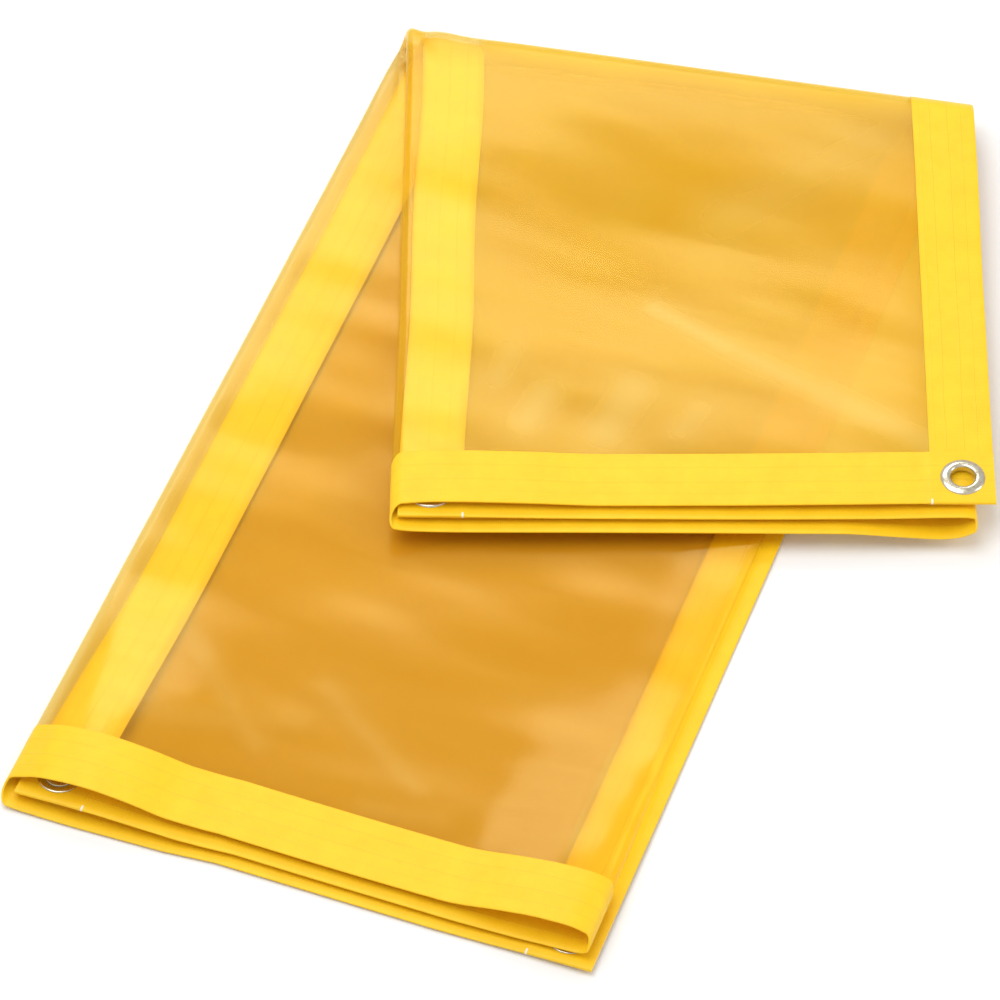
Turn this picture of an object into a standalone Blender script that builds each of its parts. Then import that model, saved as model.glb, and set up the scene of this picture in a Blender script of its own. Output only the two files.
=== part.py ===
"""A welding curtain: a sheet of clear amber film, hemmed with yellow tape on all four edges and with a
grommet in each corner. It lies folded in thirds along its length and then once across, on a slanted line.

Places on the sheet are worked out in three steps. A path runs round the folds of the cross-section, from
the outer free edge to the tucked-in free edge. Each point of it is at a width u and a height z in the
folded strip. The strip then runs straight, bends half round the crosswise fold's axis, and comes back.
"""

import math

import bmesh
import bpy
from mathutils import Vector

# The sheet, flat
SHEET_LENGTH = 0.975
FILM_THICKNESS = 0.0004
TAPE_THICKNESS = 0.0005
HEM_WIDTH = 0.037
GAP = 0.0003

# The folded strip: thirds A (outer), C (centre) and B (inner), stacked in the lower leg as A, B, C
OUTER_THIRD = 0.340
CENTRE_THIRD = 0.331
TUCK_INSET = 0.010
HEIGHT_A_TO_B = 0.0044
HEIGHT_B_TO_C = 0.0046
END_SET_BACK = 0.013

# The crosswise fold
FOLD_ANGLE = math.radians(10.3)
LOWER_LEG_LEFT = 0.5716
INNER_BEND_RADIUS = 0.0040

# The grommets
GROMMET_RADIUS = 0.01275
HOLE_RADIUS = 0.0070
NECK_WALL = 0.0005
FLANGE_THICKNESS = 0.0005
WASHER_THICKNESS = 0.0006
LIP_WIDTH = 0.0012
LIP_THICKNESS = 0.0004

# How finely round stretches are divided
LOOP_STEPS = 8
BEND_STEPS = 6
ROUND_STEPS = 32

HEM_HALF = FILM_THICKNESS / 2 + GAP + TAPE_THICKNESS
SLOT_HALF = FILM_THICKNESS / 2 + GAP
HEIGHT_A = HEM_HALF
HEIGHT_B = HEIGHT_A + HEIGHT_A_TO_B
HEIGHT_C = HEIGHT_B + HEIGHT_B_TO_C
AXIS_HEIGHT = HEIGHT_C + INNER_BEND_RADIUS
LOOP_LEFT_RADIUS = (HEIGHT_C - HEIGHT_A) / 2
LOOP_RIGHT_RADIUS = (HEIGHT_C - HEIGHT_B) / 2
BEND_LENGTH = math.pi * (AXIS_HEIGHT - HEIGHT_A)
HINGE_BEYOND = AXIS_HEIGHT + GAP / 2
EDGE_INSET = TAPE_THICKNESS + GAP


def clear_scene():
    for item in list(bpy.data.objects):
        bpy.data.objects.remove(item, do_unlink=True)


def material(name, colour, roughness, metallic):
    made = bpy.data.materials.new(name)
    made.use_nodes = True
    shader = made.node_tree.nodes["Principled BSDF"]
    shader.inputs["Base Color"].default_value = (*colour, 1.0)
    shader.inputs["Roughness"].default_value = roughness
    shader.inputs["Metallic"].default_value = metallic
    return made


# The fold


def set_back(height):
    """How far the strip's end stands back at a height: the layers above start later."""
    return END_SET_BACK * (height - HEIGHT_A) / (HEIGHT_C - HEIGHT_A)


def beyond_fold(middle, place, length):
    """Distance past the crosswise fold's start line, square to it, at a length along the sheet. The place
    is a width and height on or off the sheet's middle line, and middle is its own point on that line."""
    along = set_back(middle[1]) + length - LOWER_LEG_LEFT
    return along * math.cos(FOLD_ANGLE) - place[0] * math.sin(FOLD_ANGLE)


def on_strip(width, height, beyond):
    """World place of a point of the strip that lies this far past the crosswise fold's start line. Every
    layer spends as much of its length in the bend as the outermost one, so the inner ones lie slack."""
    line = width / math.cos(FOLD_ANGLE) + beyond * math.tan(FOLD_ANGLE)
    radius = AXIS_HEIGHT - height
    if beyond <= 0:
        out, up = beyond, height
    elif beyond < BEND_LENGTH:
        turn = math.pi * beyond / BEND_LENGTH
        out, up = radius * math.sin(turn), AXIS_HEIGHT - radius * math.cos(turn)
    else:
        out, up = BEND_LENGTH - beyond, 2 * AXIS_HEIGHT - height
    x = -OUTER_THIRD / 2 + line * math.cos(FOLD_ANGLE) - out * math.sin(FOLD_ANGLE)
    y = LOWER_LEG_LEFT + line * math.sin(FOLD_ANGLE) + out * math.cos(FOLD_ANGLE)
    return Vector((x, y, up))


def leg_stations(middle, place, leg, start, stop):
    """Distances past the fold line at which a leg's outline stands: at its end, which is at a length on
    the sheet, and along the bend up to its middle."""
    radius = AXIS_HEIGHT - place[1]
    last_turn = math.acos(GAP / 2 / radius)
    reach = last_turn / math.pi * BEND_LENGTH
    in_bend = [reach * step / BEND_STEPS for step in range(BEND_STEPS + 1)]
    if leg == "lower":
        return [beyond_fold(middle, place, start)] + in_bend
    in_bend = [BEND_LENGTH - stop for stop in reversed(in_bend)]
    return in_bend + [beyond_fold(middle, place, stop)]


def section_path(first_inset, last_inset):
    """The cross-section's middle line as (width, height, normal), from the outer free edge to the
    tucked edge. The normal points to the sheet's outer face."""
    places = [(OUTER_THIRD - first_inset, HEIGHT_A, (0, -1))]
    centre_height = (HEIGHT_A + HEIGHT_C) / 2
    for step in range(LOOP_STEPS + 1):
        turn = math.pi * step / LOOP_STEPS
        normal = (-math.sin(turn), -math.cos(turn))
        width = LOOP_LEFT_RADIUS * (1 + normal[0])
        places.append((width, centre_height + LOOP_LEFT_RADIUS * normal[1], normal))
    centre_height = (HEIGHT_B + HEIGHT_C) / 2
    for step in range(LOOP_STEPS + 1):
        turn = math.pi * step / LOOP_STEPS
        normal = (math.sin(turn), math.cos(turn))
        width = CENTRE_THIRD - LOOP_RIGHT_RADIUS * (1 - normal[0])
        places.append((width, centre_height + LOOP_RIGHT_RADIUS * normal[1], normal))
    places.append((TUCK_INSET + last_inset, HEIGHT_B, (0, -1)))
    return places


def offset(place, distance):
    """Width and height of a place moved off the middle line, towards the sheet's outer face."""
    width, height, normal = place
    return width + normal[0] * distance, height + normal[1] * distance


# Meshes


def closed_object(name, rings, finish):
    """A closed solid from rings of points. Each ring is a band: its first half runs along one face and
    its second half back along the other. The sides join ring to ring, and the end rings are capped."""
    mesh = bpy.data.meshes.new(name)
    shape = bmesh.new()
    rows = [[shape.verts.new(point) for point in ring] for ring in rings]
    count = len(rows[0])
    for row, after in zip(rows, rows[1:]):
        for k in range(count):
            shape.faces.new((row[k], row[(k + 1) % count], after[(k + 1) % count], after[k]))
    for row in (rows[0], rows[-1]):
        for k in range(count // 2 - 1):
            shape.faces.new((row[k], row[k + 1], row[count - 2 - k], row[count - 1 - k]))
    bmesh.ops.triangulate(shape, faces=list(shape.faces))
    bmesh.ops.recalc_face_normals(shape, faces=list(shape.faces))
    shape.to_mesh(mesh)
    shape.free()
    made = bpy.data.objects.new(name, mesh)
    made.data.materials.append(finish)
    bpy.context.collection.objects.link(made)
    return made


def swept_along_leg(name, outline, leg, inset, finish):
    """A solid run along one leg from its end into the bend. The outline holds pairs of a point on the
    sheet's middle line and a place on or off it, and inset is how far it stays from the sheet's end."""
    stations = [leg_stations(*pair, leg, inset, SHEET_LENGTH - inset) for pair in outline]
    rings = []
    for k in range(len(stations[0])):
        rings.append([on_strip(*pair[1], stops[k]) for pair, stops in zip(outline, stations)])
    return closed_object(name, rings, finish)


def film_half(name, leg, finish):
    """The film of one leg: a thin band along the folded path."""
    path = section_path(EDGE_INSET, EDGE_INSET)
    outline = [(place[:2], offset(place, FILM_THICKNESS / 2)) for place in path]
    outline += [(place[:2], offset(place, -FILM_THICKNESS / 2)) for place in reversed(path)]
    return swept_along_leg(name, outline, leg, EDGE_INSET, finish)


def tape_outline(free_edge, inward):
    """The folded tape round a free edge as (distance along the sheet, offset) corners. The edge is at
    free_edge and the hem reaches inward from it."""
    inner_edge = free_edge + inward * HEM_WIDTH
    slot_end = free_edge + inward * TAPE_THICKNESS
    return [
        (inner_edge, HEM_HALF),
        (free_edge, HEM_HALF),
        (free_edge, -HEM_HALF),
        (inner_edge, -HEM_HALF),
        (inner_edge, -SLOT_HALF),
        (slot_end, -SLOT_HALF),
        (slot_end, SLOT_HALF),
        (inner_edge, SLOT_HALF),
    ]


def side_hem_half(name, free_edge, inward, height, leg, finish):
    """The tape folded round one long free edge, between the end hem and the middle of the bend."""
    outline = [((width, height), (width, height + up)) for width, up in tape_outline(free_edge, inward)]
    return swept_along_leg(name, outline, leg, HEM_WIDTH + GAP, finish)


def end_hem(name, leg, finish):
    """The tape folded round one end of the sheet. It follows the folded path from free edge to free edge."""
    if leg == "lower":
        outline = tape_outline(0.0, 1)
    else:
        outline = tape_outline(SHEET_LENGTH, -1)
    rings = []
    for middle in section_path(0.0, 0.0):
        ring = []
        for length, out in outline:
            place = offset(middle, out)
            ring.append(on_strip(*place, beyond_fold(middle, place, length)))
        rings.append(ring)
    return closed_object(name, rings, finish)


# Grommets


def turned(name, profile, centre, up, finish):
    """A ring turned from a closed profile of (radius, height above the film's middle)."""
    mesh = bpy.data.meshes.new(name)
    shape = bmesh.new()
    points = [shape.verts.new((radius, 0.0, height * up)) for radius, height in profile]
    edges = [shape.edges.new((a, b)) for a, b in zip(points, points[1:] + points[:1])]
    bmesh.ops.spin(
        shape,
        geom=points + edges,
        cent=(0, 0, 0),
        axis=(0, 0, 1),
        angle=2 * math.pi,
        steps=ROUND_STEPS,
        use_merge=True,
    )
    bmesh.ops.remove_doubles(shape, verts=list(shape.verts), dist=1e-6)
    bmesh.ops.triangulate(shape, faces=list(shape.faces))
    bmesh.ops.recalc_face_normals(shape, faces=list(shape.faces))
    shape.to_mesh(mesh)
    shape.free()
    mesh.shade_smooth()
    mesh.set_sharp_from_angle(angle=math.radians(40))
    made = bpy.data.objects.new(name, mesh)
    made.location = centre
    made.data.materials.append(finish)
    bpy.context.collection.objects.link(made)
    return made


def eyelet_profile():
    """Flange bedded in the outer tape, neck through the hem, and lip rolled over the washer. Heights
    grow from the sheet's outer face to its inner face."""
    neck = HOLE_RADIUS + NECK_WALL
    washer_top = HEM_HALF + GAP + WASHER_THICKNESS
    lip = washer_top + GAP
    chamfer = FLANGE_THICKNESS / 2
    return [
        (HOLE_RADIUS, -HEM_HALF + chamfer),
        (HOLE_RADIUS + chamfer, -HEM_HALF),
        (GROMMET_RADIUS - chamfer, -HEM_HALF),
        (GROMMET_RADIUS, -HEM_HALF + chamfer),
        (GROMMET_RADIUS, -HEM_HALF + FLANGE_THICKNESS),
        (neck, -HEM_HALF + FLANGE_THICKNESS),
        (neck, lip),
        (neck + LIP_WIDTH, lip),
        (neck + LIP_WIDTH, lip + LIP_THICKNESS / 2),
        (neck + LIP_WIDTH / 2, lip + LIP_THICKNESS),
        (HOLE_RADIUS + chamfer, lip + LIP_THICKNESS),
        (HOLE_RADIUS, lip + LIP_THICKNESS / 2),
    ]


def washer_profile():
    """The ring under the rolled lip, on the hem's inner face."""
    bore = HOLE_RADIUS + NECK_WALL + GAP
    low = HEM_HALF + GAP
    chamfer = WASHER_THICKNESS / 2
    return [
        (bore, low),
        (GROMMET_RADIUS, low),
        (GROMMET_RADIUS, low + chamfer),
        (GROMMET_RADIUS - chamfer, low + WASHER_THICKNESS),
        (bore, low + WASHER_THICKNESS),
    ]


def cylinder_cutter(name, radius, low, high, centre, up):
    """An upright cylinder between two heights above the film's middle, kept as a guide only."""
    mesh = bpy.data.meshes.new(name)
    shape = bmesh.new()
    bmesh.ops.create_cone(
        shape,
        cap_ends=True,
        segments=ROUND_STEPS,
        radius1=radius,
        radius2=radius,
        depth=high - low,
    )
    shape.to_mesh(mesh)
    shape.free()
    made = bpy.data.objects.new(name, mesh)
    made.location = centre + Vector((0, 0, up * (high + low) / 2))
    made.hide_render = True
    made.display_type = "WIRE"
    bpy.context.collection.objects.link(made)
    return made


def cut(item, cutter):
    modifier = item.modifiers.new(cutter.name, "BOOLEAN")
    modifier.operation = "DIFFERENCE"
    modifier.solver = "EXACT"
    modifier.object = cutter


def add_grommet(corner, width, height, leg, hem, film, finish):
    """An eyelet and its washer in one corner of the sheet, with the holes that they pass through."""
    length = HEM_WIDTH / 2 if leg == "lower" else SHEET_LENGTH - HEM_WIDTH / 2
    place = (width, height)
    centre = on_strip(*place, beyond_fold(place, place, length))
    up = 1 if leg == "lower" else -1
    turned(f"eyelet_{corner}_{leg}", eyelet_profile(), centre, up, finish)
    turned(f"washer_{corner}_{leg}", washer_profile(), centre, up, finish)
    through = HOLE_RADIUS + NECK_WALL + GAP
    reach = 2 * HEM_HALF
    bed = GROMMET_RADIUS + GAP
    for_film = cylinder_cutter(f"film_hole_{corner}_{leg}", through, -SLOT_HALF, SLOT_HALF, centre, up)
    cut(film, for_film)
    for_tape = cylinder_cutter(f"tape_hole_{corner}_{leg}", through, -reach, reach, centre, up)
    cut(hem, for_tape)
    for_flange = cylinder_cutter(f"flange_bed_{corner}_{leg}", bed, -reach, -FILM_THICKNESS, centre, up)
    cut(hem, for_flange)


def stand_on_origin():
    """Moves the whole object so that its box stands centred on the origin."""
    bpy.context.view_layer.update()
    corners = []
    for item in bpy.data.objects:
        if item.type == "MESH" and not item.hide_render:
            corners += [item.matrix_world @ Vector(corner) for corner in item.bound_box]
    middle_x = (min(c.x for c in corners) + max(c.x for c in corners)) / 2
    middle_y = (min(c.y for c in corners) + max(c.y for c in corners)) / 2
    for item in bpy.data.objects:
        if item.parent is None:
            item.location -= Vector((middle_x, middle_y, 0))


def build():
    clear_scene()
    film_finish = material("amber_film", (0.83, 0.42, 0.05), 0.15, 0.0)
    tape_finish = material("yellow_tape", (0.98, 0.70, 0.02), 0.42, 0.0)
    metal_finish = material("nickel", (0.75, 0.73, 0.68), 0.25, 1.0)

    # The upper leg turns on a line just beyond the bend's outer face, at the height of the bend's middle.
    hinge = bpy.data.objects.new("upper_leg_hinge", None)
    hinge_place = on_strip(0.0, AXIS_HEIGHT, 0.0)
    hinge_place += HINGE_BEYOND * Vector((-math.sin(FOLD_ANGLE), math.cos(FOLD_ANGLE), 0))
    hinge.location = hinge_place
    bpy.context.collection.objects.link(hinge)

    edges = {"outer": (OUTER_THIRD, -1, HEIGHT_A), "tucked": (TUCK_INSET, 1, HEIGHT_B)}
    for leg in ("lower", "upper"):
        before = set(bpy.data.objects)
        film = film_half(f"film_{leg}", leg, film_finish)
        hem = end_hem(f"end_hem_{leg}", leg, tape_finish)
        for corner, (edge, inward, height) in edges.items():
            side_hem_half(f"side_hem_{corner}_{leg}", edge, inward, height, leg, tape_finish)
            centre = edge + inward * HEM_WIDTH / 2
            add_grommet(corner, centre, height, leg, hem, film, metal_finish)
        if leg == "upper":
            bpy.context.view_layer.update()
            for item in set(bpy.data.objects) - before:
                item.parent = hinge
                item.matrix_parent_inverse = hinge.matrix_world.inverted()
    stand_on_origin()


build()
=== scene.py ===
import math

import bmesh
import bpy
import numpy as np
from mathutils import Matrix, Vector


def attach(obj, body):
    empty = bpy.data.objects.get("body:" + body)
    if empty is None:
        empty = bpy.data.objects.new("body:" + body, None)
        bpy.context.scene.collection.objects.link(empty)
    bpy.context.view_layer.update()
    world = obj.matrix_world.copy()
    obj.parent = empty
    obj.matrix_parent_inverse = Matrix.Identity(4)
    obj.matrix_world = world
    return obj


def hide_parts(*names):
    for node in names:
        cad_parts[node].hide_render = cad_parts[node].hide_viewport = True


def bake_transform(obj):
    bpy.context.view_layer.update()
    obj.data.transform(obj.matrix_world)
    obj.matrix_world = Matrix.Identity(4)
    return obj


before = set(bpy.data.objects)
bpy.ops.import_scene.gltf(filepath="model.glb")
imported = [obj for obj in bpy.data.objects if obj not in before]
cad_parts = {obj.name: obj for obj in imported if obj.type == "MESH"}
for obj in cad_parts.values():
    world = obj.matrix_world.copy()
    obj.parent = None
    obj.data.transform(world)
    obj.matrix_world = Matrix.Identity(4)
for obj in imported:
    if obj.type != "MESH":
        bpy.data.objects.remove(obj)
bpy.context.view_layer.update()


# Film
# The panel is one sheet of clear amber vinyl. It is folded in thirds along its length, with two open loops,
# and then once across on a slant, so that its upper leg lies turned over on its lower leg.

SHEET_LENGTH = 0.975
FILM_HALF = 0.0002
EDGE_INSET = 0.0008
OUTER_THIRD = 0.340
CENTRE_THIRD = 0.331
TUCK_INSET = 0.010
HEIGHT_A, HEIGHT_B, HEIGHT_C = 0.001, 0.0054, 0.010
END_SET_BACK = 0.013
FOLD_ANGLE = math.radians(10.3)
LOWER_LEG_LEFT = 0.5716
AXIS_HEIGHT = 0.014
BEND_LENGTH = math.pi * (AXIS_HEIGHT - HEIGHT_A)
MIDDLE_X, MIDDLE_Y = 0.055945, 0.323915

LEFT_RADIUS = (HEIGHT_C - HEIGHT_A) / 2
RIGHT_RADIUS = (HEIGHT_C - HEIGHT_B) / 2
LEFT_LOOP = OUTER_THIRD - LEFT_RADIUS
CENTRE_START = LEFT_LOOP + math.pi * LEFT_RADIUS
RIGHT_LOOP = CENTRE_START + CENTRE_THIRD - RIGHT_RADIUS - LEFT_RADIUS
TUCKED_START = RIGHT_LOOP + math.pi * RIGHT_RADIUS
SHEET_WIDTH = TUCKED_START + CENTRE_THIRD - RIGHT_RADIUS - TUCK_INSET

# Where the layers really lie, as (flat place, width, height) in millimetres. The ends of the sheet gape,
# and the middle of each leg sags together. Heights in the upper leg count down from its turned-over top.
LOWER_END = [
    (0, 340, 2.9), (20, 320, 2.7), (40, 300, 1.9), (75, 265, 1.1), (300, 40, 1.0), (325, 15, 1.4),
    (336, 4.0, 2.6), (342.5, 0.3, 6.2), (349.6, 2.5, 11.0), (357, 8, 13.8), (369, 19, 18.6),
    (393, 43.5, 21.5), (417, 68, 18.5), (443, 94, 12.4), (470, 122, 9.6), (528, 182, 9.0),
    (595, 251, 10.0), (628, 285, 16.5), (646, 304, 19.6), (662, 320.5, 20.4), (670, 328.5, 19.2),
    (676, 333.5, 15.6), (681, 335.5, 11.4), (687, 332, 8.0), (695, 324, 6.8), (703, 316, 6.4),
    (722, 297, 5.2), (767, 252, 4.6), (830, 190, 4.4), (895, 122, 4.8), (930, 82, 7.0), (965, 44, 9.0),
    (999.7, 7.0, 7.6),
]
LOWER_MIDDLE = [
    (0, 340, 1.2), (37, 303, 1.1), (60, 280, 0.7), (300, 40, 0.7), (325, 15, 0.9), (335.5, 4.5, 1.6),
    (342.5, 0, 5.6), (349.6, 4.5, 9.8), (365, 19.9, 9.4), (392, 47, 7.8), (440, 95, 5.4), (540, 195, 4.6),
    (630, 285, 6.2), (655, 309.5, 8.4), (673.8, 328.7, 9.8), (677.4, 331, 7.6), (681, 328.7, 5.3),
    (700, 309.7, 4.7), (740, 269.7, 2.9), (850, 159.7, 2.0), (940, 69.7, 2.6), (962.7, 48.5, 3.2),
    (999.7, 11.5, 3.6),
]
UPPER_END = [
    (0, 338, 3.0), (40, 299, 3.0), (90, 250, 4.0), (160, 180, 5.4), (225, 115, 6.0), (266, 74, 4.2),
    (312, 28, 3.0), (323, 16.5, 3.3), (334.5, 4.6, 4.6), (340, -1.2, 6.2), (344, -3.6, 8.8),
    (349.6, -1.4, 11.6), (358, 6, 13.2), (375, 22, 14.0), (392, 38, 14.2), (465, 115, 14.0), (600, 250, 14.2),
    (633, 284, 17.0), (655, 307, 18.8), (665, 317, 17.6), (672, 324, 14.0), (676, 326.5, 11.2),
    (681, 325.5, 8.4), (686, 321.5, 7.4), (700, 307, 7.6), (733, 274, 8.8), (757, 250, 9.2), (830, 177, 9.9),
    (893, 114, 9.9), (960, 40, 8.9), (999.7, 0.5, 8.6),
]
UPPER_MIDDLE = [
    (0, 339, 5.0), (40, 300, 5.4), (90, 250, 7.6), (160, 180, 8.6), (225, 115, 8.2), (266, 74, 7.0),
    (312, 28, 4.6), (323, 17, 4.2), (335.5, 3.6, 4.6), (342.5, -1.0, 8.4), (349.6, 3.4, 12.0),
    (375, 26, 13.6), (392, 43, 13.8), (465, 118, 14.0), (600, 254, 13.9), (640, 294, 13.2),
    (665, 321, 12.2), (673.8, 328.2, 11.4), (677.4, 330.4, 9.6), (681, 328.0, 7.8), (700, 309, 8.4),
    (757, 252, 10.6), (830, 179, 11.2), (893, 116, 11.2), (962, 43, 9.6), (999.7, 5.5, 9.0),
]
# How far each end lies askew, as (width, slip along the sheet) in millimetres.
LOWER_SLIP = [(-10, -17), (45, -15.5), (95, -13), (125, -9.8), (250, -7.3), (300, -5.2), (345, -3.8)]
UPPER_SLIP = -0.0048
END_REACH = 0.19
FLAT_BY_BEND = 0.012
BEND_REACH = 0.15
SEAM = 0.008
WAVE_HEIGHT = 0.00045
GATHER_HEIGHT, GATHER_REACH = 0.0008, 0.065
PROBE = 0.0004
LOWEST = 0.00005
SHARP_EDGE = math.radians(50)
SLIP_REACH_LOWER = 0.32
SLIP_START_UPPER, SLIP_REACH_UPPER = 0.64, 0.29


def folded(flat):
    """Width and height of the neat fold at flat places, from the sheet's outer to its tucked edge."""
    left = np.clip((flat - LEFT_LOOP) / LEFT_RADIUS, 0, math.pi)
    right = np.clip((flat - RIGHT_LOOP) / RIGHT_RADIUS, 0, math.pi)
    on_outer = OUTER_THIRD - flat
    in_left = LEFT_RADIUS * (1 - np.sin(left))
    on_centre = LEFT_RADIUS + flat - CENTRE_START
    in_right = CENTRE_THIRD - RIGHT_RADIUS * (1 - np.sin(right))
    on_tucked = CENTRE_THIRD - RIGHT_RADIUS - (flat - TUCKED_START)
    bounds = [flat <= LEFT_LOOP, flat <= CENTRE_START, flat <= RIGHT_LOOP, flat <= TUCKED_START]
    width = np.select(bounds, [on_outer, in_left, on_centre, in_right], on_tucked)
    height = (HEIGHT_A + HEIGHT_C) / 2 - LEFT_RADIUS * np.cos(left)
    height = np.where(flat > RIGHT_LOOP, (HEIGHT_B + HEIGHT_C) / 2 + RIGHT_RADIUS * np.cos(right), height)
    return width, height


def run_through(places, values, wanted):
    """A curve through values at places that never overshoots between two of them."""
    step, rise = np.diff(places), np.diff(values) / np.diff(places)
    before, after = 2 * step[1:] + step[:-1], step[1:] + 2 * step[:-1]
    same_way = rise[:-1] * rise[1:] > 0
    safe = [np.where(same_way, part, 1.0) for part in (rise[:-1], rise[1:])]
    slope = np.zeros(len(places))
    slope[1:-1] = np.where(same_way, (before + after) / (before / safe[0] + after / safe[1]), 0.0)
    slope[0], slope[-1] = rise[0], rise[-1]
    k = np.clip(np.searchsorted(places, wanted) - 1, 0, len(step) - 1)
    t = (wanted - places[k]) / step[k]
    curve = values[k] * (1 + 2 * t) * (1 - t) ** 2 + values[k + 1] * t * t * (3 - 2 * t)
    return curve + step[k] * (slope[k] * t * (1 - t) ** 2 - slope[k + 1] * t * t * (1 - t))


FLAT_GRID = np.linspace(0, SHEET_WIDTH, 2001)


def moved_from_fold(profile):
    """How far a profile's layers lie from the neat fold, in width and height, along FLAT_GRID."""
    place, *lies = np.array(profile, float).T / 1000
    place[-1] = SHEET_WIDTH
    blur = np.exp(-np.linspace(-2.4, 2.4, 33) ** 2)
    moved = []
    for lie, neat in zip(lies, folded(FLAT_GRID)):
        gap = np.pad(run_through(place, lie, FLAT_GRID) - neat, 16, mode="edge")
        moved.append(np.convolve(gap, blur / blur.sum(), mode="valid"))
    return moved


MOVED = {
    "lower": [moved_from_fold(LOWER_END), moved_from_fold(LOWER_MIDDLE)],
    "upper": [moved_from_fold(UPPER_END), moved_from_fold(UPPER_MIDDLE)],
}


def eased(t):
    t = np.clip(t, 0, 1)
    return t ** 3 * (t * (6 * t - 15) + 10)


def set_back(height):
    return END_SET_BACK * (height - HEIGHT_A) / (HEIGHT_C - HEIGHT_A)


def length_at(flat, beyond):
    """Length along the sheet at which a flat place lies this far past the crosswise fold's start line."""
    width, height = folded(flat)
    along = (beyond + width * math.sin(FOLD_ANGLE)) / math.cos(FOLD_ANGLE)
    return LOWER_LEG_LEFT - set_back(height) + along


def undulation(flat, length):
    """Slow waves of the slack film, in metres of height."""
    waves = np.sin(31 * flat + 9 * length + 0.6) * np.sin(17 * length - 6 * flat + 1.1)
    waves = waves + 0.6 * np.sin(47 * flat - 21 * length + 2.0) * np.sin(13 * flat + 29 * length)
    return WAVE_HEIGHT * waves


def gathers(width, beyond):
    """Small folds that run out from the left end of the crosswise fold, in metres of height."""
    apart = np.hypot(width, beyond)
    folds = np.sin(11 * np.arctan2(width, -beyond) + 40 * apart + 0.8)
    return GATHER_HEIGHT * folds * np.minimum(apart / 0.012, 1) * np.exp(-((apart / GATHER_REACH) ** 2))


def across(flat, length):
    """Width, height and distance past the fold line of the sheet's middle surface, as it really lies."""
    width, neat_height = folded(flat)
    beyond = (set_back(neat_height) + length - LOWER_LEG_LEFT) * math.cos(FOLD_ANGLE)
    beyond = beyond - width * math.sin(FOLD_ANGLE)
    lower = beyond < BEND_LENGTH / 2
    from_end = np.where(lower, length, SHEET_LENGTH - length)
    from_bend = np.where(lower, -beyond, beyond - BEND_LENGTH)
    at_end = 1 - eased(from_end / END_REACH)
    loose = eased((from_bend - FLAT_BY_BEND) / BEND_REACH)
    in_middle = np.clip(loose - at_end, 0, 1)
    shifts = []
    for axis in (0, 1):
        parts = {}
        for leg in ("lower", "upper"):
            end, middle = (np.interp(flat, FLAT_GRID, moved[axis]) for moved in MOVED[leg])
            parts[leg] = at_end * end + in_middle * middle
        shifts.append(np.where(lower, parts["lower"], parts["upper"]))
    height = neat_height + shifts[1] + undulation(flat, length) * in_middle
    height = height + gathers(width, beyond)
    slip = np.interp(width * 1000, *np.array(LOWER_SLIP, float).T) / 1000
    slip = slip * (1 - eased(length / SLIP_REACH_LOWER))
    slip = slip + UPPER_SLIP * eased((length - SLIP_START_UPPER) / SLIP_REACH_UPPER)
    beyond = beyond + slip * math.cos(FOLD_ANGLE) - shifts[0] * math.sin(FOLD_ANGLE)
    return width + shifts[0], height, beyond


def lay(flat, length, off=0.0):
    """Points of the folded sheet, from flat places and lengths, moved off the middle to its outer face."""
    flat, length, off = np.broadcast_arrays(flat, length, off)
    low, high = np.clip(flat - PROBE, 0, SHEET_WIDTH), np.clip(flat + PROBE, 0, SHEET_WIDTH)
    before, after = across(low, length), across(high, length)
    step = [b - a for a, b in zip(before[:2], after[:2])]
    size = np.hypot(*step)
    width, height, beyond = across(np.clip(flat, 0, SHEET_WIDTH), length)
    side = -step[1] / size * off
    width, height, beyond = width + side, height + step[0] / size * off, beyond - side * math.sin(FOLD_ANGLE)
    line = width / math.cos(FOLD_ANGLE) + beyond * math.tan(FOLD_ANGLE)
    turn = math.pi * np.clip(beyond / BEND_LENGTH, 0, 1)
    radius = AXIS_HEIGHT - height
    out = radius * np.sin(turn) + np.minimum(beyond, 0) - np.maximum(beyond - BEND_LENGTH, 0)
    up = AXIS_HEIGHT - radius * np.cos(turn)
    x = -OUTER_THIRD / 2 + line * math.cos(FOLD_ANGLE) - out * math.sin(FOLD_ANGLE) - MIDDLE_X
    y = LOWER_LEG_LEFT + line * math.sin(FOLD_ANGLE) + out * math.cos(FOLD_ANGLE) - MIDDLE_Y
    return np.stack([x, y, np.maximum(up, LOWEST)], -1)


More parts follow.
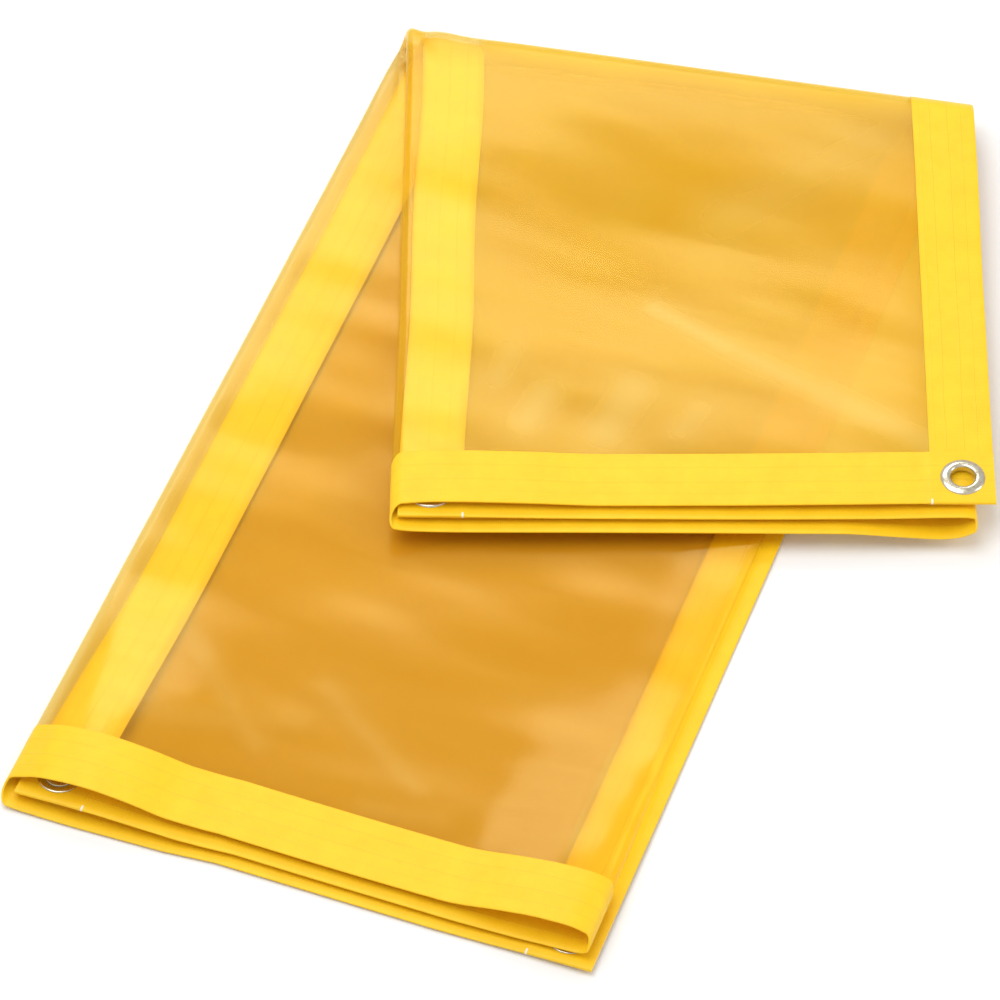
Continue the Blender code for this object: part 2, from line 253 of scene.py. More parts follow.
def walled(name, outside, inside, finishes, uv, open_rows=(), shares=None):
    """A closed thin body between two grids of points. The rim at an open row, where the sheet runs on into
    the next piece, gets the last finish. The uv grid gives the flat place of each grid point in metres, and
    shares holds named grids of a number at each point."""
    rows, columns = outside.shape[:2]
    mesh = bpy.data.meshes.new(name)
    points = np.concatenate([outside.reshape(-1, 3), inside.reshape(-1, 3)])
    index = np.arange(rows * columns).reshape(rows, columns)
    back = index + rows * columns
    top = np.stack([index[:-1, :-1], index[:-1, 1:], index[1:, 1:], index[1:, :-1]], -1).reshape(-1, 4)
    under = np.stack([back[:-1, :-1], back[1:, :-1], back[1:, 1:], back[:-1, 1:]], -1).reshape(-1, 4)
    rims = []
    for k, turn in ((0, 1), (-1, -1)):
        row, under_row = index[k][::turn], back[k][::turn]
        rims.append(np.stack([row[:-1], under_row[:-1], under_row[1:], row[1:]], -1))
        column, under_column = index[:, k][::-turn], back[:, k][::-turn]
        rims.append(np.stack([column[:-1], under_column[:-1], under_column[1:], column[1:]], -1))
    faces = np.concatenate([top, under, *rims])
    mesh.from_pydata(points.tolist(), [], faces.tolist())
    layer = mesh.uv_layers.new(name="Sheet")
    corners = np.zeros(len(mesh.loops), np.int32)
    mesh.loops.foreach_get("vertex_index", corners)
    flat = np.concatenate([uv.reshape(-1, 2)] * 2)
    layer.data.foreach_set("uv", flat[corners].astype(np.float32).ravel())
    for label, share in (shares or {}).items():
        values = np.concatenate([np.broadcast_to(share, (rows, columns)).reshape(-1)] * 2)
        mesh.attributes.new(label, "FLOAT", "POINT").data.foreach_set("value", values.astype(np.float32))
    for finish in finishes:
        mesh.materials.append(finish)
    slots = np.zeros(len(faces), np.int32)
    if len(finishes) > 1:
        start = len(top) + len(under)
        for k, rim in enumerate(rims):
            if k in open_rows:
                slots[start : start + len(rim)] = len(finishes) - 1
            start += len(rim)
    mesh.polygons.foreach_set("material_index", slots)
    mesh.polygons.foreach_set("use_smooth", np.arange(len(faces)) < len(top) + len(under))
    mesh.update()
    mesh.validate()
    made = bpy.data.objects.new(name, mesh)
    bpy.context.scene.collection.objects.link(made)
    check = bmesh.new()
    check.from_mesh(mesh)
    bmesh.ops.recalc_face_normals(check, faces=list(check.faces))
    check.to_mesh(mesh)
    check.free()
    mesh.set_sharp_from_angle(angle=SHARP_EDGE)
    return made


class Signal:
    """A number that varies over a surface. Python's operators on it add the Math nodes."""

    def __init__(self, finish, socket):
        self.finish, self.socket = finish, socket

    def worked(self, operation, *parts):
        return self.finish.node("ShaderNodeMath", {"operation": operation}, dict(enumerate(parts or (self,))))

    def __add__(self, other):
        return self.worked("ADD", self, other)

    def __sub__(self, other):
        return self.worked("SUBTRACT", self, other)

    def __rsub__(self, other):
        return self.worked("SUBTRACT", other, self)

    def __mul__(self, other):
        return self.worked("MULTIPLY", self, other)

    def __abs__(self):
        return self.worked("ABSOLUTE")

    def sine(self):
        return self.worked("SINE")

    def above_zero(self):
        return self.worked("MAXIMUM", self, 0.0)

    __radd__, __rmul__ = __add__, __mul__


class Finish:
    """A material under construction."""

    def __init__(self, name):
        self.material = bpy.data.materials.new(name)
        self.material.use_nodes = True
        self.tree = self.material.node_tree
        self.tree.nodes.clear()

    def node(self, kind, settings=None, sockets=None, out=0):
        made = self.tree.nodes.new(kind)
        for key, value in (settings or {}).items():
            if key == "stops":
                ramp = made.color_ramp.elements
                while len(ramp) < len(value):
                    ramp.new(1.0)
                for element, (place, colour) in zip(ramp, value):
                    element.position, element.color = place, (*colour, 1.0)
            else:
                setattr(made, key, value)
        for key, value in (sockets or {}).items():
            if isinstance(value, Signal):
                self.tree.links.new(value.socket, made.inputs[key])
            else:
                made.inputs[key].default_value = value
        return Signal(self, made.outputs[out]) if made.outputs else None

    def surface(self, shader):
        self.node("ShaderNodeOutputMaterial", {}, {"Surface": shader})
        return self.material


film = Finish("amber_vinyl")
at = film.node("ShaderNodeTexCoord", out=3)
cloud = film.node("ShaderNodeTexNoise", {}, {"Vector": at, "Scale": 9.0, "Detail": 2.0, "Roughness": 0.55})
slack_at = film.node(
    "ShaderNodeMapping", {}, {"Vector": at, "Rotation": (0, 0, 0.62), "Scale": (6.0, 17.0, 5.0)}
)
slack = film.node(
    "ShaderNodeTexNoise", {}, {"Vector": slack_at, "Scale": 1.0, "Detail": 1.0, "Roughness": 0.4}
)
scuff_at = film.node("ShaderNodeMapping", {}, {"Vector": at, "Rotation": (0, 0, 0.5), "Scale": (14, 190, 60)})
scuff = film.node(
    "ShaderNodeTexNoise", {}, {"Vector": scuff_at, "Scale": 1.0, "Detail": 3.0, "Roughness": 0.62}
)
bump = film.node("ShaderNodeBump", {}, {"Height": slack + scuff * 0.012, "Strength": 0.7, "Distance": 0.004})


def share_of(label):
    """A number laid over the film when its mesh was made."""
    return film.node("ShaderNodeAttribute", {"attribute_name": label}, out=2)


def blended(share, one, other):
    """A colour between two, by a share."""
    return film.node("ShaderNodeMix", {"data_type": "RGBA"}, {0: share, 6: one, 7: other}, out=2)


stacked, clinging, creased, milky = (share_of(name) for name in ("stacked", "clinging", "creased", "milky"))
# Painted light by leg: the lower leg's amber is darker, painted shade for the shadowed floor seen through it,
# and the upper leg's amber is lighter, painted sheen of the lights.
shaded_amber_lower = blended(cloud, (0.66, 0.32, 0.010, 1), (0.78, 0.42, 0.022, 1))
sheen_amber_upper = blended(cloud, (0.86, 0.47, 0.008, 1), (0.95, 0.61, 0.018, 1))
# Along the painted highlight streaks the amber turns a pale yellow.
amber = blended(creased, blended(stacked, shaded_amber_lower, sheen_amber_upper), (1.0, 0.86, 0.30, 1))
haze = film.node(
    "ShaderNodeBsdfPrincipled",
    {},
    {"Base Color": amber, "Roughness": 0.5, "Normal": bump, "Specular IOR Level": 0.05},
)
# The lower leg's clear tint is darker too, painted shade of the floor beneath it; where the film clings to a
# hem it is clearer, without that painted shade.
shaded_clear_lower = film.node("ShaderNodeBsdfTransparent", {}, {"Color": (0.965, 0.86, 0.50, 1.0)})
lit_clear_upper = film.node("ShaderNodeBsdfTransparent", {}, {"Color": (0.99, 0.93, 0.56, 1.0)})
clear_clinging = film.node("ShaderNodeBsdfTransparent", {}, {"Color": (0.993, 0.968, 0.62, 1.0)})
clear = film.node("ShaderNodeMixShader", {}, {0: stacked, 1: shaded_clear_lower, 2: lit_clear_upper})
clear = film.node("ShaderNodeMixShader", {}, {0: clinging, 1: clear, 2: clear_clinging})
body = film.node("ShaderNodeMixShader", {}, {0: milky + cloud * 0.06, 1: clear, 2: haze})
shine = film.node(
    "ShaderNodeBsdfPrincipled",
    {},
    {"Base Color": (1.0, 0.90, 0.50, 1.0), "Metallic": 1.0, "Roughness": scuff * 0.14 + 0.10, "Normal": bump},
)
glance = film.node("ShaderNodeFresnel", {}, {"IOR": 1.40, "Normal": bump})
front = film.node("ShaderNodeMixShader", {}, {0: glance, 1: body, 2: shine})
far_face = film.node("ShaderNodeNewGeometry", out=6)
through = film.node("ShaderNodeBsdfTransparent", {}, {"Color": (1.0, 1.0, 1.0, 1.0)})
vinyl = film.surface(film.node("ShaderNodeMixShader", {}, {0: far_face, 1: front, 2: through}))

running_on = Finish("vinyl_runs_on")
open_air = running_on.node("ShaderNodeBsdfTransparent", {}, {"Color": (1.0, 1.0, 1.0, 1.0)})
vinyl_runs_on = running_on.surface(open_air)


def spread(start, stop, spacing, tight=(), tight_spacing=0.0011):
    """Places from start to stop at about this spacing, closer together in the tight stretches."""
    cuts = sorted({start, stop, *(c for stretch in tight for c in stretch if start < c < stop)})
    places = [start]
    for low, high in zip(cuts, cuts[1:]):
        close = any(a <= (low + high) / 2 <= b for a, b in tight)
        count = max(1, math.ceil((high - low) / (tight_spacing if close else spacing)))
        places += [low + (high - low) * k / count for k in range(1, count + 1)]
    return np.array(places)


LOOPS = [(0.326, 0.366), (0.660, 0.700)]
ROW_SHARE = {"lower": 0.0080, "upper": 0.0125}


def rows_of(part, flat, start, stop):
    """Lengths along the sheet of a part's rows, one column for each flat place. Start and stop are its
    lengths at the sheet's ends."""
    if part == "lower":
        steps = spread(0, 1, ROW_SHARE["lower"])[:, None]
        return start + (length_at(flat, -SEAM) - start) * steps
    if part == "upper":
        steps = spread(0, 1, ROW_SHARE["upper"])[:, None]
        first = length_at(flat, BEND_LENGTH + SEAM)
        return first + (stop - first) * steps
    straight = SEAM * np.array([0.5, 1.0])
    beyond = np.concatenate([-straight[::-1], np.linspace(0, BEND_LENGTH, 29), BEND_LENGTH + straight])
    return length_at(flat, beyond[:, None])


RIDES = {"lower": "lower_leg", "upper": "upper_leg"}
OPEN_ROWS = {"lower": (2,), "bend": (0, 2), "upper": (0,)}
LEG_LENGTH = {"lower": 0.589, "bend": 0.043, "upper": 0.329}


def settle_on(piece, part, node):
    """Lets a finished piece move with its leg and stand for its CAD node; a piece of the bend between the two
    only has its placement baked into its points.
    """
    if part == "bend":
        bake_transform(piece)
    else:
        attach(piece, RIDES[part])
        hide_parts(node)


HEM_WIDTH = 0.037
HEM_LINES = SHEET_WIDTH - HEM_WIDTH, HEM_WIDTH
# Painted highlight streaks: soft whitish bands that stand in for reflections of the lights in the wavy film,
# each from one (flat place, length) to another, with its half width and how strongly it shows.
HIGHLIGHT_STREAKS = [
    ((0.193, 0.826), (0.150, 0.857), 0.0070, 0.42), ((0.150, 0.857), (0.096, 0.893), 0.0090, 0.32),
    ((0.096, 0.893), (0.038, 0.931), 0.0120, 0.34), ((0.049, 0.688), (0.150, 0.757), 0.0240, 0.22),
    ((0.268, 0.916), (0.256, 0.894), 0.0130, 0.38), ((0.222, 0.920), (0.206, 0.890), 0.0150, 0.40),
    ((0.180, 0.922), (0.168, 0.905), 0.0120, 0.26), ((0.284, 0.884), (0.276, 0.862), 0.0110, 0.26),
    ((0.300, 0.640), (0.210, 0.740), 0.0200, 0.10), ((0.392, 0.128), (0.467, 0.062), 0.0070, 0.32),
    ((0.484, 0.112), (0.557, 0.064), 0.0070, 0.34), ((0.398, 0.058), (0.480, 0.086), 0.0090, 0.24),
    ((0.536, 0.044), (0.575, 0.050), 0.0080, 0.24), ((0.402, 0.422), (0.390, 0.368), 0.0150, 0.18),
    ((0.388, 0.300), (0.470, 0.215), 0.0180, 0.10),
]


def highlight_streaks_at(flat, length):
    """How strongly the painted highlight streaks show at flat places and lengths."""
    total = 0.0
    for (flat_a, length_a), (flat_b, length_b), half_width, strength in HIGHLIGHT_STREAKS:
        run, rise = flat_b - flat_a, length_b - length_a
        along = (flat - flat_a) * run + (length - length_a) * rise
        share = np.clip(along / (run * run + rise * rise), 0, 1)
        apart = np.hypot(flat - flat_a - share * run, length - length_a - share * rise)
        total = np.maximum(total, strength * np.exp(-((apart / half_width) ** 2)))
    return total


# How hazy the film looks: on each leg, with more on the upper leg as painted sheen of the lights; where it
# clings to a hem; in the bend; and along the painted highlight streaks.
HAZE_LOWER, HAZE_UPPER_SHEEN, HAZE_CLINGING, HAZE_BEND, HAZE_STREAK = 0.10, 0.29, 0.02, 0.38, 0.20
CLING_EDGE = 0.002
BEND_HAZE_REACH = 0.034
film_flat = spread(EDGE_INSET, SHEET_WIDTH - EDGE_INSET, 0.0042, LOOPS, 0.0016)
film_pieces = {}
for part in ("lower", "bend", "upper"):
    rows = rows_of(part, film_flat, EDGE_INSET, SHEET_LENGTH - EDGE_INSET)
    flat = np.broadcast_to(film_flat, rows.shape)
    uv = np.stack([flat, rows], -1)
    faces = lay(flat, rows, FILM_HALF), lay(flat, rows, -FILM_HALF)
    width, _, beyond = across(flat, rows)
    hem_left, hem_right = (across(np.full(rows.shape, place), rows)[0] for place in HEM_LINES)
    by_left = (film_flat < CENTRE_START + 0.1) * (1 - eased((width - hem_left) / CLING_EDGE + 0.5))
    by_left = by_left * eased((width - hem_left + HEM_WIDTH) / CLING_EDGE)
    by_right = (film_flat > CENTRE_START) * eased((width - hem_right) / CLING_EDGE + 0.5)
    clinging = np.maximum(by_left, by_right)
    # Painted highlight streaks: whitish bands standing in for reflections of the lights.
    creased = highlight_streaks_at(flat, rows)
    # Share from the lower leg's painted shade to the upper leg's painted sheen, across the bend.
    stacked = eased(beyond / BEND_LENGTH)
    bent = 1 - eased(abs(beyond - BEND_LENGTH * 0.6) / BEND_HAZE_REACH - 0.1)
    milky = (HAZE_LOWER + (HAZE_UPPER_SHEEN - HAZE_LOWER) * stacked) * (1 - clinging) + HAZE_CLINGING * clinging
    milky = milky + HAZE_BEND * bent + HAZE_STREAK * creased
    shares = {"stacked": stacked, "clinging": clinging, "creased": creased, "milky": milky}
    film_pieces[part] = walled(
        f"amber_film_{part}", *faces, [vinyl, vinyl_runs_on], uv, OPEN_ROWS[part], shares
    )


# Side hems
# A strip of woven, vinyl-coated yellow tape is folded round each long edge of the film and welded to it on
# both faces. The welding bars leave faint lines along the tape, and the weave shows through the coating.

TAPE_OUT, TAPE_IN = 0.00062, 0.00024
HEM_END_INSET = 0.0012
THREAD = 0.00105
WELD_LINES = 0.0085, 0.0165, 0.0270, 0.0335
WELD_SHARPNESS = 1900

tape = Finish("yellow_hem_tape")
where = tape.node("ShaderNodeUVMap", {"uv_map": "Sheet"})
split = tape.node("ShaderNodeSeparateXYZ", {}, {0: where})
along_hem, over_hem = split, Signal(tape, split.socket.node.outputs[1])
wander = tape.node("ShaderNodeTexNoise", {}, {"Vector": where, "Scale": 22.0, "Detail": 2.0})
patches = tape.node(
    "ShaderNodeTexNoise", {}, {"Vector": where, "Scale": 60.0, "Detail": 4.0, "Roughness": 0.6}
)
fibre = tape.node("ShaderNodeTexNoise", {}, {"Vector": where, "Scale": 1400.0, "Detail": 2.0})
warp = (along_hem * (2 * math.pi / THREAD)).sine()
weft = (over_hem * (2 * math.pi / THREAD)).sine()
weave = warp * 0.5 + weft * 0.28 + warp * weft * 0.3
wavy = over_hem + wander * 0.0016 - 0.0008
line_marks = [(1 - abs(wavy - place) * WELD_SHARPNESS).above_zero() for place in WELD_LINES]
welds = line_marks[0] * 0.6 + line_marks[1] + line_marks[2] + line_marks[3] * 0.5
relief = weave * 0.16 + fibre * 0.12 + welds * 0.6 + patches * 0.6
tape_bump = tape.node("ShaderNodeBump", {}, {"Height": relief, "Strength": 0.5, "Distance": 0.0005})
shade = patches * 0.7 + weave * 0.09 - welds * 0.16
yellow = tape.node(
    "ShaderNodeValToRGB",
    {"stops": [(0.15, (0.92, 0.53, 0.004)), (0.5, (0.96, 0.60, 0.006))]},
    {"Fac": shade},
)
tape_shader = tape.node(
    "ShaderNodeBsdfPrincipled",
    {},
    {
        "Base Color": yellow,
        "Roughness": patches * 0.22 + 0.30 - welds * 0.05,
        "Specular IOR Level": 0.3,
        "Coat Weight": patches * 0.2,
        "Coat Roughness": 0.28,
        "Sheen Weight": 0.08,
        "Normal": tape_bump,
    },
)
hem_tape = tape.surface(tape_shader)

raw = Finish("cut_tape_threads")
raw_at = raw.node("ShaderNodeTexCoord", out=3)
threads = raw.node("ShaderNodeTexNoise", {}, {"Vector": raw_at, "Scale": 2600.0, "Detail": 2.0})
raw_bump = raw.node("ShaderNodeBump", {}, {"Height": threads, "Strength": 0.6, "Distance": 0.0002})
raw_colour = raw.node(
    "ShaderNodeValToRGB",
    {"stops": [(0.3, (0.80, 0.74, 0.58)), (0.7, (0.96, 0.94, 0.88))]},
    {"Fac": threads},
)
cut_threads = raw.surface(
    raw.node("ShaderNodeBsdfPrincipled", {}, {"Base Color": raw_colour, "Roughness": 0.9, "Normal": raw_bump})
)


def wrapped(reach, outer, inner):
    """The outline of tape folded round an edge: distances in from the edge, and the tape's outer and inner
    faces off the middle. It runs from the hem's inner edge on one face round to the other."""
    steps = np.linspace(reach, TAPE_OUT, 17)[:-1]
    nose = np.linspace(0, math.pi, 9)
    far = np.concatenate([steps, TAPE_OUT - TAPE_OUT * np.sin(nose), steps[::-1]])
    flags = np.concatenate([np.ones(len(steps)), np.cos(nose), -np.ones(len(steps))])
    near = np.concatenate([steps, TAPE_OUT - TAPE_IN * np.sin(nose) * 0.9, steps[::-1]])
    return far, near, flags * outer, flags * inner


side_hems = {}
for edge in ("outer", "tucked"):
    far, near, over, under = wrapped(HEM_WIDTH, TAPE_OUT, TAPE_IN)
    for part in ("lower", "bend", "upper"):
        grids = []
        for inward, off in ((far, over), (near, under)):
            flat = inward if edge == "outer" else SHEET_WIDTH - inward
            lengths = rows_of(part, flat, HEM_END_INSET, SHEET_LENGTH - HEM_END_INSET)
            grids.append(lay(np.broadcast_to(flat, lengths.shape), lengths, off))
        uv = np.stack([lengths, np.broadcast_to(far, lengths.shape)], -1)
        side_hems[edge, part] = walled(f"{edge}_edge_hem_{part}", *grids, [hem_tape], uv)


# End hems
# The same tape is folded round the two ends of the sheet, over the side hems at the corners. It is stiff,
# so the folded ends gape open between the layers.

CORNER_OUT, CORNER_IN = 0.00106, 0.00066
STEP_DOWN = 0.0022
CUT_HALF, CUT_HEIGHT = 0.00055, 0.0022
CUT_LINES = [(place - CUT_HALF, place + CUT_HALF) for place in (HEM_WIDTH, SHEET_WIDTH - HEM_WIDTH)]
end_hems = {}
for leg in ("lower", "upper"):
    flat = spread(0.0, SHEET_WIDTH, 0.0033, LOOPS + CUT_LINES)[:, None]
    from_edge = np.minimum(flat, SHEET_WIDTH - flat)
    lift = 1 - eased((from_edge - HEM_WIDTH) / STEP_DOWN)
    far, near, flags, _ = wrapped(HEM_WIDTH, 1.0, 1.0)
    over = flags * (TAPE_OUT + lift * (CORNER_OUT - TAPE_OUT))
    under = flags * (TAPE_IN + lift * (CORNER_IN - TAPE_IN))
    grids = []
    for inward, off in ((far, over), (near, under)):
        length = inward if leg == "lower" else SHEET_LENGTH - inward
        grids.append(lay(flat, length, off))
    uv = np.stack(np.broadcast_arrays(flat, far), -1)
    end_hems[leg] = walled(f"end_hem_tape_{leg}", *grids, [hem_tape, cut_threads], uv, (0, 2))
    # The side hem's cut end shows as a short pale line where the end hem is folded over it.
    sheet_uv = end_hems[leg].data.uv_layers["Sheet"].data
    for face in end_hems[leg].data.polygons:
        place, inward = np.mean([sheet_uv[k].uv for k in face.loop_indices], axis=0)
        if inward < CUT_HEIGHT and any(low < place < high for low, high in CUT_LINES):
            face.material_index = 1


# Grommets
# A nickel-plated brass eyelet with a domed flange passes through each corner, and its neck is rolled over a
# flat washer on the other face. Each leg's two are set by one tree, square to the tape where they sit.

PUNCH_RADIUS, PUNCH_DEPTH = 0.0077, 0.005
SEAT_REACH = 0.008
# Outlines of radius and height in millimetres, from the tape's face.
EYELET_OUTLINE = [
    (7.0, -2.7), (7.0, 0.2), (7.15, 0.75), (7.6, 1.15), (8.3, 1.38), (9.2, 1.42), (10.3, 1.28), (11.4, 0.95),
    (12.2, 0.55), (12.65, 0.18), (12.75, 0.0), (12.6, -0.08), (11.6, 0.35), (10.4, 0.85), (9.2, 1.0),
    (8.3, 0.95), (7.75, 0.7), (7.5, 0.2), (7.5, -2.75), (7.7, -3.0), (8.15, -3.05), (8.6, -2.85),
    (8.9, -2.95), (8.8, -3.2), (8.3, -3.42), (7.6, -3.38), (7.15, -3.12),
]
WASHER_OUTLINE = [
    (7.8, -2.18), (12.55, -2.18), (12.75, -2.32), (12.6, -2.55), (11.6, -2.74), (9.6, -2.80), (7.8, -2.80),
]

nickel = Finish("nickel_plate")
nickel_at = nickel.node("ShaderNodeTexCoord", out=3)
spots = nickel.node(
    "ShaderNodeTexNoise", {}, {"Vector": nickel_at, "Scale": 320.0, "Detail": 5.0, "Roughness": 0.65}
)
fine = nickel.node("ShaderNodeTexNoise", {}, {"Vector": nickel_at, "Scale": 3000.0, "Detail": 2.0})
nickel_bump = nickel.node(
    "ShaderNodeBump", {}, {"Height": fine + spots * 0.5, "Strength": 0.12, "Distance": 0.0001}
)
# The plating's tone is darker and warmer than bare nickel: painted reflection of the amber film and yellow
# tape around it, over the plating's own colour.
plating_and_painted_reflection = nickel.node(
    "ShaderNodeValToRGB",
    {"stops": [(0.30, (0.56, 0.49, 0.34)), (0.56, (0.72, 0.66, 0.53))]},
    {"Fac": spots},
)
nickel_plate = nickel.surface(
    nickel.node(
        "ShaderNodeBsdfPrincipled",
        {},
        {"Base Color": plating_and_painted_reflection, "Metallic": 1.0, "Roughness": spots * 0.12 + 0.16, "Normal": nickel_bump},
    )
)


def turned_ring(name, outline):
    """A ring turned from an outline of radius and height in millimetres."""
    shape = bmesh.new()
    ring = [shape.verts.new((radius / 1000, 0, height / 1000)) for radius, height in outline]
    edges = [shape.edges.new(pair) for pair in zip(ring, ring[1:] + ring[:1])]
    bmesh.ops.spin(
        shape, geom=ring + edges, cent=(0, 0, 0), axis=(0, 0, 1), angle=2 * math.pi, steps=72, use_merge=True
    )
    bmesh.ops.remove_doubles(shape, verts=list(shape.verts), dist=1e-6)
    bmesh.ops.recalc_face_normals(shape, faces=list(shape.faces))
    mesh = bpy.data.meshes.new(name)
    shape.to_mesh(mesh)
    shape.free()
    mesh.shade_smooth()
    made = bpy.data.objects.new(name, mesh)
    bpy.context.scene.collection.objects.link(made)
    return made


def setting_tree():
    """A tree that sets a ring at each point of a mesh, square to the point's facing, at a named size."""
    tree = bpy.data.node_groups.new("set_rings", "GeometryNodeTree")
    ids = {}
    wanted = {"Corners": "Geometry", "Ring": "Object", "Size": "Float", "Plating": "Material"}
    for label, kind in wanted.items():
        socket = tree.interface.new_socket(label, in_out="INPUT", socket_type=f"NodeSocket{kind}")
        ids[label] = socket.identifier
    tree.interface.new_socket("Rings", in_out="OUTPUT", socket_type="NodeSocketGeometry")
    new, join = tree.nodes.new, tree.links.new
    given, shown = new("NodeGroupInput"), new("NodeGroupOutput")
    ring, facing = new("GeometryNodeObjectInfo"), new("GeometryNodeInputNamedAttribute")
    facing.data_type = "FLOAT_VECTOR"
    facing.inputs["Name"].default_value = "facing"
    turn, place = new("FunctionNodeAlignRotationToVector"), new("GeometryNodeInstanceOnPoints")
    turn.axis = "Z"
    real, paint = new("GeometryNodeRealizeInstances"), new("GeometryNodeSetMaterial")
    join(given.outputs["Ring"], ring.inputs["Object"])
    join(facing.outputs["Attribute"], turn.inputs["Vector"])
    join(given.outputs["Corners"], place.inputs["Points"])
    join(ring.outputs["Geometry"], place.inputs["Instance"])
    join(turn.outputs["Rotation"], place.inputs["Rotation"])
    join(given.outputs["Size"], place.inputs["Scale"])
    join(place.outputs["Instances"], real.inputs["Geometry"])
    join(real.outputs["Geometry"], paint.inputs["Geometry"])
    join(given.outputs["Plating"], paint.inputs["Material"])
    join(paint.outputs["Geometry"], shown.inputs[0])
    return tree, ids


set_rings, ring_inputs = setting_tree()
rings = {
    "eyelets": turned_ring("eyelet_ring", EYELET_OUTLINE),
    "washers": turned_ring("washer_ring", WASHER_OUTLINE),
}
corner_flat = {"outer": HEM_WIDTH / 2, "tucked": SHEET_WIDTH - HEM_WIDTH / 2}
corner_length = {"lower": HEM_WIDTH / 2, "upper": SHEET_LENGTH - HEM_WIDTH / 2}
grommets, seats = {}, {}
for leg in ("lower", "upper"):
    centres, facings = [], []
    for corner, flat in corner_flat.items():
        length = corner_length[leg]
        over, over_back = lay(flat + SEAT_REACH, length), lay(flat - SEAT_REACH, length)
        along, along_back = lay(flat, length + SEAT_REACH), lay(flat, length - SEAT_REACH)
        facing = np.cross(along - along_back, over - over_back)
        facing = facing / np.linalg.norm(facing)
        outward = lay(flat, length, TAPE_OUT) - lay(flat, length)
        facing = facing * np.sign(facing @ outward)
        middle = (over + over_back + along + along_back) / 4
        centres.append(middle + facing * CORNER_OUT)
        facings.append(facing)
    seats[leg] = list(zip(centres, facings))
    for kind, ring in rings.items():
        mesh = bpy.data.meshes.new(f"{kind}_{leg}_corners")
        mesh.from_pydata([tuple(centre) for centre in centres], [], [])
        attribute = mesh.attributes.new("facing", "FLOAT_VECTOR", "POINT")
        attribute.data.foreach_set("vector", np.array(facings, np.float32).ravel())
        carrier = bpy.data.objects.new(f"{kind}_{leg}_carrier", mesh)
        bpy.context.scene.collection.objects.link(carrier)
        setter = carrier.modifiers.new("set", "NODES")
        setter.node_group = set_rings
        setter[ring_inputs["Ring"]] = ring
        setter[ring_inputs["Size"]] = 1.0
        setter[ring_inputs["Plating"]] = nickel_plate
        bpy.context.view_layer.update()
        evaluated = carrier.evaluated_get(bpy.context.evaluated_depsgraph_get())
        plain = bpy.data.meshes.new_from_object(evaluated)
        piece = bpy.data.objects.new(f"{kind}_{leg}", plain)
        bpy.context.scene.collection.objects.link(piece)
        bpy.data.objects.remove(carrier)
        grommets[kind, leg] = piece
for ring in rings.values():
    bpy.data.objects.remove(ring)


def punch(piece, leg):
    """Cuts the two round grommet holes of a leg through a piece."""
    shape = bmesh.new()
    for centre, facing in seats[leg]:
        upright = Vector(facing).to_track_quat("Z", "Y").to_matrix().to_4x4()
        upright.translation = Vector(centre - facing * CORNER_OUT)
        bmesh.ops.create_cone(
            shape,
            cap_ends=True,
            segments=48,
            radius1=PUNCH_RADIUS,
            radius2=PUNCH_RADIUS,
            depth=PUNCH_DEPTH,
            matrix=upright,
        )
    mesh = bpy.data.meshes.new("punch")
    shape.to_mesh(mesh)
    shape.free()
    tool = bpy.data.objects.new("punch", mesh)
    bpy.context.scene.collection.objects.link(tool)
    cut = piece.modifiers.new("punch", "BOOLEAN")
    cut.operation, cut.solver, cut.object = "DIFFERENCE", "EXACT", tool
    bpy.context.view_layer.update()
    evaluated = piece.evaluated_get(bpy.context.evaluated_depsgraph_get())
    holed = bpy.data.meshes.new_from_object(evaluated)
    piece.modifiers.clear()
    piece.data = holed
    bpy.data.objects.remove(tool)


for leg in ("lower", "upper"):
    for piece in (film_pieces[leg], end_hems[leg], side_hems["outer", leg], side_hems["tucked", leg]):
        punch(piece, leg)
    for kind, node in (("eyelets", "eyelet"), ("washers", "washer")):
        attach(grommets[kind, leg], RIDES[leg])
        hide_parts(f"{node}_outer_{leg}", f"{node}_tucked_{leg}")
    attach(end_hems[leg], RIDES[leg])
    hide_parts(f"end_hem_{leg}")
for part, length in LEG_LENGTH.items():
    settle_on(film_pieces[part], part, f"film_{part}")
    for edge in ("outer", "tucked"):
        settle_on(side_hems[edge, part], part, f"side_hem_{edge}_{part}")


# Floor, light and camera
# The sheet lies on a pale seamless floor under soft studio light.

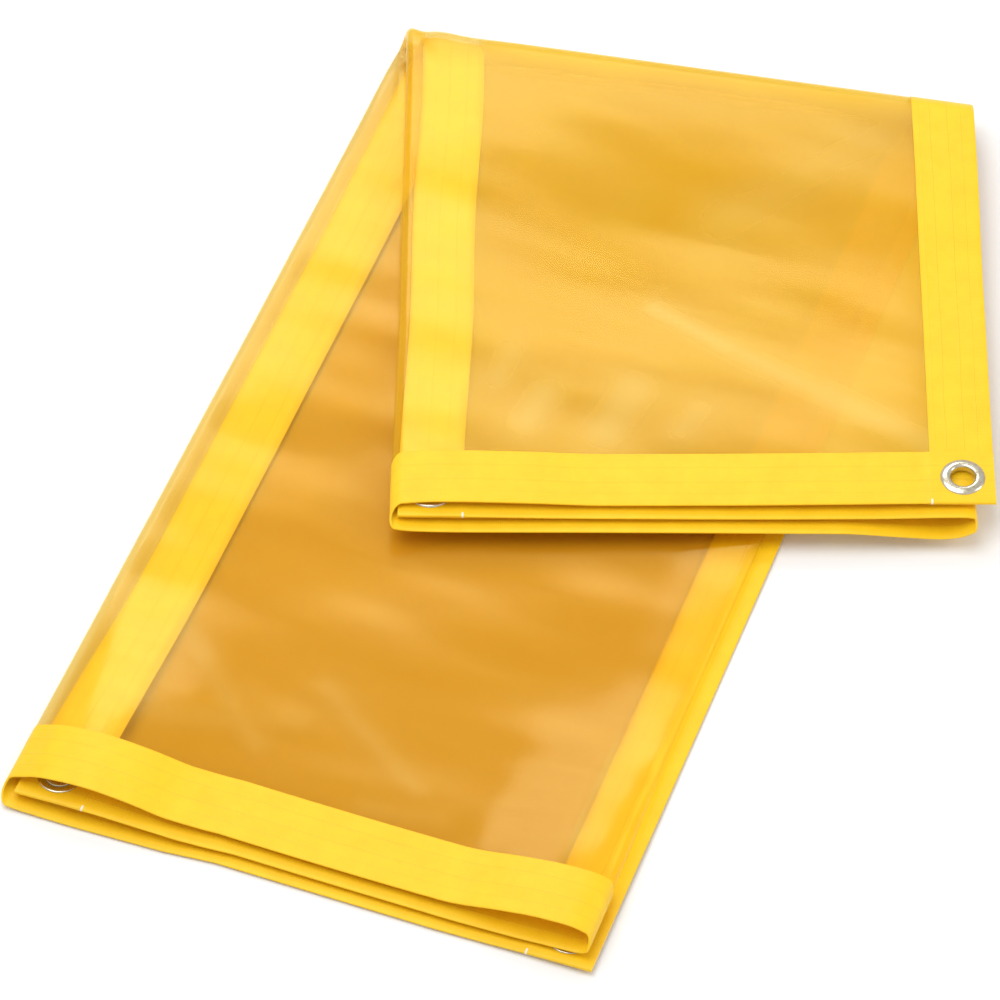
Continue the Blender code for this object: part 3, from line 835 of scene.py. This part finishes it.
floor_finish = Finish("pale_floor")
floor_at = floor_finish.node("ShaderNodeTexCoord", out=3)
floor_noise = floor_finish.node("ShaderNodeTexNoise", {}, {"Vector": floor_at, "Scale": 3.0, "Detail": 2.0})
floor_tone = floor_finish.node(
    "ShaderNodeValToRGB",
    {"stops": [(0.3, (0.88, 0.88, 0.88)), (0.7, (0.90, 0.90, 0.90))]},
    {"Fac": floor_noise},
)
pale_floor = floor_finish.surface(
    floor_finish.node("ShaderNodeBsdfPrincipled", {}, {"Base Color": floor_tone, "Roughness": 0.7})
)
floor_mesh = bpy.data.meshes.new("floor")
floor_mesh.from_pydata([(x, y, -0.0006) for x, y in ((-6, -6), (6, -6), (6, 6), (-6, 6))], [], [(0, 1, 2, 3)])
floor_mesh.materials.append(pale_floor)
floor = bpy.data.objects.new("floor", floor_mesh)
bpy.context.scene.collection.objects.link(floor)

world = bpy.data.worlds.new("studio")
bpy.context.scene.world = world
world.use_nodes = True
world.node_tree.nodes["Background"].inputs["Color"].default_value = (1.0, 1.0, 1.0, 1.0)
world.node_tree.nodes["Background"].inputs["Strength"].default_value = 0.68


def softbox(name, place, aim, size, watts):
    lamp = bpy.data.lights.new(name, "AREA")
    lamp.shape, lamp.size, lamp.size_y, lamp.energy = "RECTANGLE", size[0], size[1], watts
    box = bpy.data.objects.new(name, lamp)
    box.location = place
    box.rotation_euler = (Vector(aim) - Vector(place)).to_track_quat("-Z", "Y").to_euler()
    bpy.context.scene.collection.objects.link(box)


softbox("overhead", (-0.5, -0.2, 2.0), (0, 0, 0), (1.6, 1.6), 22)
softbox("back_light", (-0.75, 1.35, 1.5), (0, 0.05, 0), (1.1, 0.5), 8)
softbox("side_light", (1.7, 0.5, 1.1), (0, 0, 0), (0.5, 1.2), 6)

YAW, ELEVATION, DISTANCE = math.radians(-20.9), math.radians(51.9), 3.019
forward = Vector(
    (math.sin(YAW) * math.cos(ELEVATION), math.cos(YAW) * math.cos(ELEVATION), -math.sin(ELEVATION))
)
lens = bpy.data.cameras.new("camera")
lens.lens, lens.sensor_width, lens.clip_end = 190.7, 36.0, 30.0
camera = bpy.data.objects.new("camera", lens)
camera.location = Vector((-0.046, -0.045, 0)) - forward * DISTANCE
camera.rotation_euler = forward.to_track_quat("-Z", "Y").to_euler()
bpy.context.scene.collection.objects.link(camera)
bpy.context.scene.camera = camera
bpy.context.scene.view_settings.view_transform = "Standard"
path = bpy.context.scene.cycles
path.transparent_max_bounces, path.max_bounces, path.diffuse_bounces, path.glossy_bounces = 40, 6, 4, 2

bpy.context.view_layer.update()
